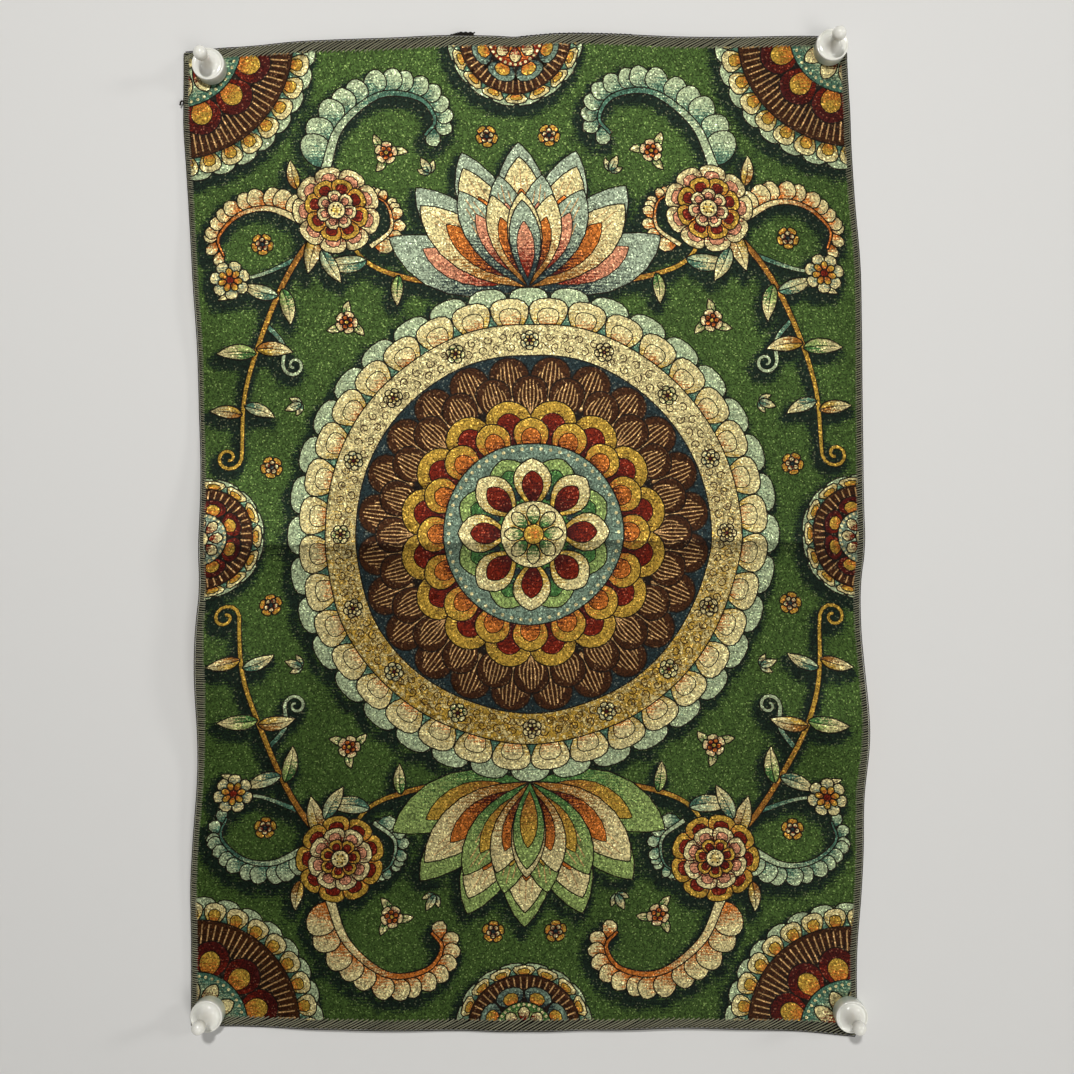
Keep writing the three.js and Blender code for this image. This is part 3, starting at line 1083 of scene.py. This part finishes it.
# how far out and how far from the back each ring of a magnet is, up to its ball
MAGNET_PROFILE = (
    (6.70, -0.30), (7.05, -0.22), (7.20, 0.10), (7.25, 0.50), (7.25, 5.20), (7.22, 5.60), (7.08, 5.88),
    (6.86, 6.00), (6.62, 5.96), (6.45, 5.80), (6.25, 5.62), (5.70, 5.60), (5.00, 5.78), (4.30, 6.16),
    (3.70, 6.75), (3.20, 7.60), (2.80, 8.70), (2.48, 9.90), (2.24, 11.2), (2.12, 12.4), (2.16, 13.2),
    (2.40, 13.9),
)
BALL_RADIUS, BALL_HEIGHT = 3.05, 16.5
BALL_FOOT = 2.5  # the ball's radius where it leaves the stalk


def magnet_rings():
    """The profile, with the ball at its tip added."""
    foot, widest, tip = math.asin(BALL_FOOT / BALL_RADIUS), TURN / 4, TURN / 2
    turns = np.concatenate([np.linspace(foot, widest, 5)[:-1], np.linspace(widest, tip, 11)[:-1]])
    ball = BALL_RADIUS * np.stack([np.sin(turns), -np.cos(turns)], axis=1) + (0, BALL_HEIGHT)
    return np.concatenate([MAGNET_PROFILE, ball])


def turn_magnet(node):
    """A turned push-pin magnet where the CAD has its node."""
    low, high = (np.array(corner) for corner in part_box(node))
    foot = (low + high) / 2
    foot[1] = high[1]
    turns = np.arange(MAGNET_TURNS) * TURN / MAGNET_TURNS
    circle = np.stack([np.cos(turns), 0 * turns, np.sin(turns)], axis=1)
    radius, depth = magnet_rings().T[:, :, None, None] * MM
    places = (foot + circle * radius - depth * (0, 1, 0)).reshape(-1, 3)
    tip = foot - (0, (BALL_HEIGHT + BALL_RADIUS) * MM, 0)

    numbers = np.arange(len(places)).reshape(-1, MAGNET_TURNS)
    last = numbers[-1]
    cap = np.stack([last, np.roll(last, -1), np.full(MAGNET_TURNS, len(places))], axis=1)
    faces = ring_faces(numbers) + cap.tolist() + [numbers[0][::-1].tolist()]
    piece = mesh_object("push_pin_" + node, np.concatenate([places, tip[None]]), faces)
    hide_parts(node)
    return piece


# ---------------------------------------------------------------- materials


class Nodes:
    """A short way to add and join the nodes of one material."""

    def __init__(self, name):
        self.material = bpy.data.materials.new(name)
        self.material.use_nodes = True
        self.tree = self.material.node_tree
        self.shader = self.tree.nodes["Principled BSDF"]

    def give(self, node, inputs):
        """Joins nodes to a node's inputs, or sets the inputs' own values."""
        for key, value in inputs.items():
            if isinstance(value, bpy.types.NodeSocket):
                self.tree.links.new(value, node.inputs[key])
            else:
                node.inputs[key].default_value = value

    def add(self, kind, inputs, **settings):
        node = self.tree.nodes.new(kind)
        for key, value in settings.items():
            setattr(node, key, value)
        self.give(node, inputs)
        return node

    def finished(self, inputs):
        """The material, with these inputs of its shader."""
        self.give(self.shader, inputs)
        return self.material

    def math(self, operation, *values, clamp=False):
        inputs = dict(enumerate(values))
        return self.add("ShaderNodeMath", inputs, operation=operation, use_clamp=clamp).outputs[0]

    def times(self, first, second):
        return self.math("MULTIPLY", first, second)

    def fit(self, value, factor, offset, clamp=False):
        """A value times a factor, plus an offset."""
        return self.math("MULTIPLY_ADD", value, factor, offset, clamp=clamp)

    def mix(self, share, first, second, blend="MIX"):
        """Two colours mixed. The node's first colour input is its seventh."""
        inputs = {0: share, 6: first, 7: second}
        return self.add("ShaderNodeMix", inputs, data_type="RGBA", blend_type=blend).outputs[2]

    def scaled(self, colour, factor):
        return self.add("ShaderNodeVectorMath", {0: colour, "Scale": factor}, operation="SCALE").outputs[0]

    def attribute(self, name, output="Color"):
        return self.add("ShaderNodeAttribute", {}, attribute_name=name).outputs[output]

    def parts(self, vector):
        return self.add("ShaderNodeSeparateXYZ", {0: vector}).outputs

    def joined(self, *values):
        return self.add("ShaderNodeCombineXYZ", dict(enumerate(values))).outputs[0]

    def noise(self, place, scale, detail=2.0, distortion=0.0):
        inputs = {"Vector": place, "Scale": scale, "Detail": detail, "Distortion": distortion}
        return self.add("ShaderNodeTexNoise", inputs).outputs[0]

    def bump(self, height, strength, millimetres):
        inputs = {"Height": height, "Strength": strength, "Distance": millimetres * MM}
        return self.add("ShaderNodeBump", inputs).outputs[0]


def brocade():
    """Two threads mixed stitch by stitch, with some fine scrollwork and glints of metal thread, metallic,
    glossier and painted lighter as painted highlights.
    """
    n = Nodes("brocade")
    place = n.attribute("flat_place", "Vector")
    across, up, back = n.parts(place)
    grain, row = stitch_noise(n, across, up, back, CELL)
    speck = stitch_noise(n, across, up, back, SPECK)[0]
    second_share = crossover(n, across, row, back, grain)
    threads = n.mix(second_share, n.attribute("first_thread"), n.attribute("second_thread"))
    line, glow = scrollwork(n, place)
    threads = n.mix(glow, threads, linear("cream"))
    threads = n.mix(line, threads, linear("brown"))
    floats = n.fit(n.math("FLOORED_MODULO", row, 2.0), 0.35, 0.2)
    threads = n.mix(n.times(floats, back), threads, linear("ground_dark"))

    tone = n.noise(place, 18.0, 3.0)
    clumps = n.noise(place, 700.0, 1.0)
    brightness = n.fit(speck, 1.17, 0.31)
    # the last share is painted shade just under the fold
    for share in (n.fit(clumps, 1.0, 0.5), n.fit(tone, 0.6, 0.7), fold_painted_shade(n, up, tone)):
        brightness = n.times(brightness, share)
    colour = n.scaled(threads, brightness)
    # a glint stitch is metallic and glossier, and its colour is also painted lighter as a painted highlight
    glint = n.math("GREATER_THAN", speck, 0.955)
    painted_glint_colour = n.mix(1.0, n.scaled(colour, 1.8), (0.075, 0.062, 0.035, 1), "ADD")
    ribs, picks = (n.math("SINE", n.times(run, TURN / (CELL * MM))) for run in (across, up))
    return n.finished({
        "Base Color": n.mix(n.times(glint, 0.8), colour, painted_glint_colour),
        "Metallic": n.fit(glint, 0.25, 0.5),
        "Roughness": n.fit(glint, -0.08, 0.44),
        "Specular IOR Level": 0.12,
        "Normal": n.bump(n.math("ADD", n.times(ribs, picks), grain), 0.5, 0.035),
    })


def stitch_noise(n, across, up, back, size):
    """A random value for each cell of a woven grid, and the cell's row."""
    row = n.math("FLOOR", n.times(up, 1 / (size * MM)))
    step = n.times(n.math("FLOORED_MODULO", row, 2.0), 0.5)
    column = n.math("FLOOR", n.fit(across, 1 / (size * MM), step))
    return n.add("ShaderNodeTexWhiteNoise", {0: n.joined(column, row, back)}).outputs[0], row


def crossover(n, across, row, back, grain):
    """How much of the second thread shows: a stipple with some horizontal dashes where the two meet."""
    dashes = n.noise(n.joined(n.times(across, 240), n.times(row, 7.3), back), 1.0, 1.0)
    dashes = n.fit(n.math("SUBTRACT", dashes, 0.5), 2.4, 0.5, clamp=True)
    comb = n.times(n.math("FLOORED_MODULO", row, 3.0), 0.5)
    threshold = n.fit(comb, 0.22, n.fit(dashes, 0.36, n.times(grain, 0.42)))
    share = n.attribute("share", "Fac")
    return n.fit(n.math("SUBTRACT", share, threshold), 3.0, 0.5, clamp=True)


def scrollwork(n, place):
    """Fine curling lines, and the pale glow on one side of each, where the pattern asks for them."""
    swirl = n.noise(place, 330.0, 1.0, 1.2)
    wanted = n.attribute("tracery", "Fac")
    lines = []
    for level, sharpness in ((0.5, -22.0), (0.57, -16.0)):
        off_line = n.math("ABSOLUTE", n.math("SUBTRACT", swirl, level))
        line = n.fit(off_line, sharpness, 1.15, clamp=True)
        lines.append(n.times(n.times(line, 0.8), wanted))
    return lines


def fold_painted_shade(n, up, tone):
    """Painted shade under the fold: the brightness it leaves the threads, the least just under it."""
    below = n.math("ADD", n.fit(up, -1 / MM, CREASE_Z), n.fit(tone, 6.0, -3.0))
    start = n.fit(below, 1 / FOLD_SHADE_START, 1.0, clamp=True)
    end = n.fit(below, -1 / FOLD_SHADE_REACH, 1.0, clamp=True)
    return n.fit(n.times(n.times(start, end), tone), -FOLD_SHADE, 1.0)


def overlock_thread(name, colour, sheen, specular):
    """A twisted thread, its plies as slanting ribs, with painted shade in the grooves between them."""
    n = Nodes(name)
    strand = n.attribute("strand", "Vector")
    along_it, around, chance = n.parts(strand)
    ply = n.math("SINE", n.times(n.fit(along_it, 1.5, around), TURN))
    # the brightness also follows the ply ribs: painted shade in their grooves
    brightness = n.fit(n.noise(strand, 3.0), 0.6, n.fit(ply, 0.16, n.fit(chance, 0.45, 0.5)))
    return n.finished({
        "Base Color": n.scaled(colour, brightness),
        "Roughness": 0.7,
        "Sheen Weight": sheen,
        "Specular IOR Level": specular,
        "Normal": n.bump(ply, 0.5, 0.06),
    })


def white_plastic():
    """Glossy moulded plastic, its base greyer and greener than its knob as painted shade and a painted
    reflection of the green cloth, with faint flow marks and dust.
    """
    n = Nodes("white_plastic")
    place = n.add("ShaderNodeNewGeometry", {}).outputs["Position"]
    # painted shade and painted green reflection: grey-green close to the wall, white further out
    base_painted_shade = n.fit(n.parts(place)[1], 260.0, 2.0, clamp=True)
    colour = n.mix(base_painted_shade, (0.80, 0.785, 0.71, 1), (0.50, 0.54, 0.46, 1))
    marks = n.noise(place, 420.0, 4.0)
    return n.finished({
        "Base Color": n.scaled(colour, n.fit(marks, 0.08, 0.96)),
        "Roughness": n.fit(marks, 0.14, 0.08),
        "Subsurface Weight": 0.12,
        "Subsurface Radius": (0.004, 0.004, 0.003),
        "Normal": n.bump(marks, 0.15, 0.05),
    })


def stage_paint(name, colour, one_sided):
    """Matt paint, and where it is one-sided the stage can be seen through from behind."""
    n = Nodes(name)
    if one_sided:
        clear = n.add("ShaderNodeBsdfTransparent", {}).outputs[0]
        behind = n.add("ShaderNodeNewGeometry", {}).outputs["Backfacing"]
        mixed = n.add("ShaderNodeMixShader", {0: behind, 1: n.shader.outputs[0], 2: clear}).outputs[0]
        n.give(n.tree.nodes["Material Output"], {"Surface": mixed})
    return n.finished({"Base Color": colour, "Roughness": 0.9})


# ---------------------------------------------------------------- stage, light and camera, in metres

MIDDLE = np.mean(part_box("cloth"), axis=0)
ROOM = 3.0  # the wall's and the floor's half width
WALL_Y = 0.0008
FLOOR_DROP, WALL_RISE = 1.3, 1.6  # below and above the cloth's middle
CAMERA_PLACE = (0.0064, -0.489, -0.2278)
# each lamp's place from the cloth's middle, its size and its watts
LAMPS = {
    "lamp_above": ((-0.07, -1.12, 0.5), 0.07, 9.4),
    "lamp_right": ((0.8, -1.7, -0.8), 0.7, 9.4),
    "lamp_aside": ((2.3, -1.15, 0.6), 0.4, 12),
    "lamp_behind": ((0.3, 1.3, 0.3), 0.6, 12),
}


def plane(name, corners, material):
    piece = mesh_object(name, corners, [(0, 1, 2, 3)], smooth=False)
    piece.data.materials.append(material)
    piece.visible_shadow = False  # so that the lamp behind the wall shows the cloth's back


def build_stage():
    bottom, top = MIDDLE[2] - FLOOR_DROP, MIDDLE[2] + WALL_RISE
    wall = [(x, WALL_Y, z) for x, z in ((-ROOM, bottom), (ROOM, bottom), (ROOM, top), (-ROOM, top))]
    plane("stage_wall", wall, stage_paint("wall_paint", (0.69, 0.68, 0.655, 1), True))
    floor = [(x, y, bottom) for x, y in ((-ROOM, -ROOM), (ROOM, -ROOM), (ROOM, ROOM), (-ROOM, ROOM))]
    plane("stage_floor", floor, stage_paint("floor_paint", (0.62, 0.61, 0.59, 1), False))


def build_lights():
    target = Vector(MIDDLE)
    for name, (offset, size, watts) in LAMPS.items():
        light = bpy.data.lights.new(name, "AREA")
        light.size, light.energy = size, watts
        lamp = bpy.data.objects.new(name, light)
        lamp.location = target + Vector(offset)
        lamp.rotation_euler = (target - lamp.location).to_track_quat("-Z", "Y").to_euler()
        bpy.context.scene.collection.objects.link(lamp)
    world = bpy.data.worlds.new("room")
    world.use_nodes = True
    colour, strength = world.node_tree.nodes["Background"].inputs[:2]
    colour.default_value = (1.0, 0.99, 0.97, 1)
    strength.default_value = 0.115
    bpy.context.scene.world = world
    bpy.context.scene.view_settings.view_transform = "Standard"


def build_camera():
    camera = bpy.data.objects.new("camera", bpy.data.cameras.new("camera"))
    camera.data.lens, camera.data.sensor_width = 36, 36
    camera.location = CAMERA_PLACE
    camera.rotation_euler = (TURN / 4, 0, 0)
    bpy.context.scene.collection.objects.link(camera)
    bpy.context.scene.camera = camera


# ---------------------------------------------------------------- the object

cloth = weave_cloth(draw_pattern())
cloth.data.materials.append(brocade())
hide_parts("cloth")

edging = [overlock_stitches(), seam_threads(), loose_thread()] + lock_threads()
grey = overlock_thread("overlock_grey", (0.2, 0.193, 0.12), 0.12, 0.4)
black = overlock_thread("lock_black", (0.011, 0.009, 0.007), 0.01, 0.12)
for piece in edging:
    piece.data.materials.append(grey if piece is edging[0] else black)

magnets = [turn_magnet(name) for name in list(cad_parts) if name.startswith("magnet")]
plastic = white_plastic()
for magnet in magnets:
    magnet.data.materials.append(plastic)
for piece in [cloth] + edging + magnets:
    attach(piece, "root")
build_stage()
build_lights()
build_camera()
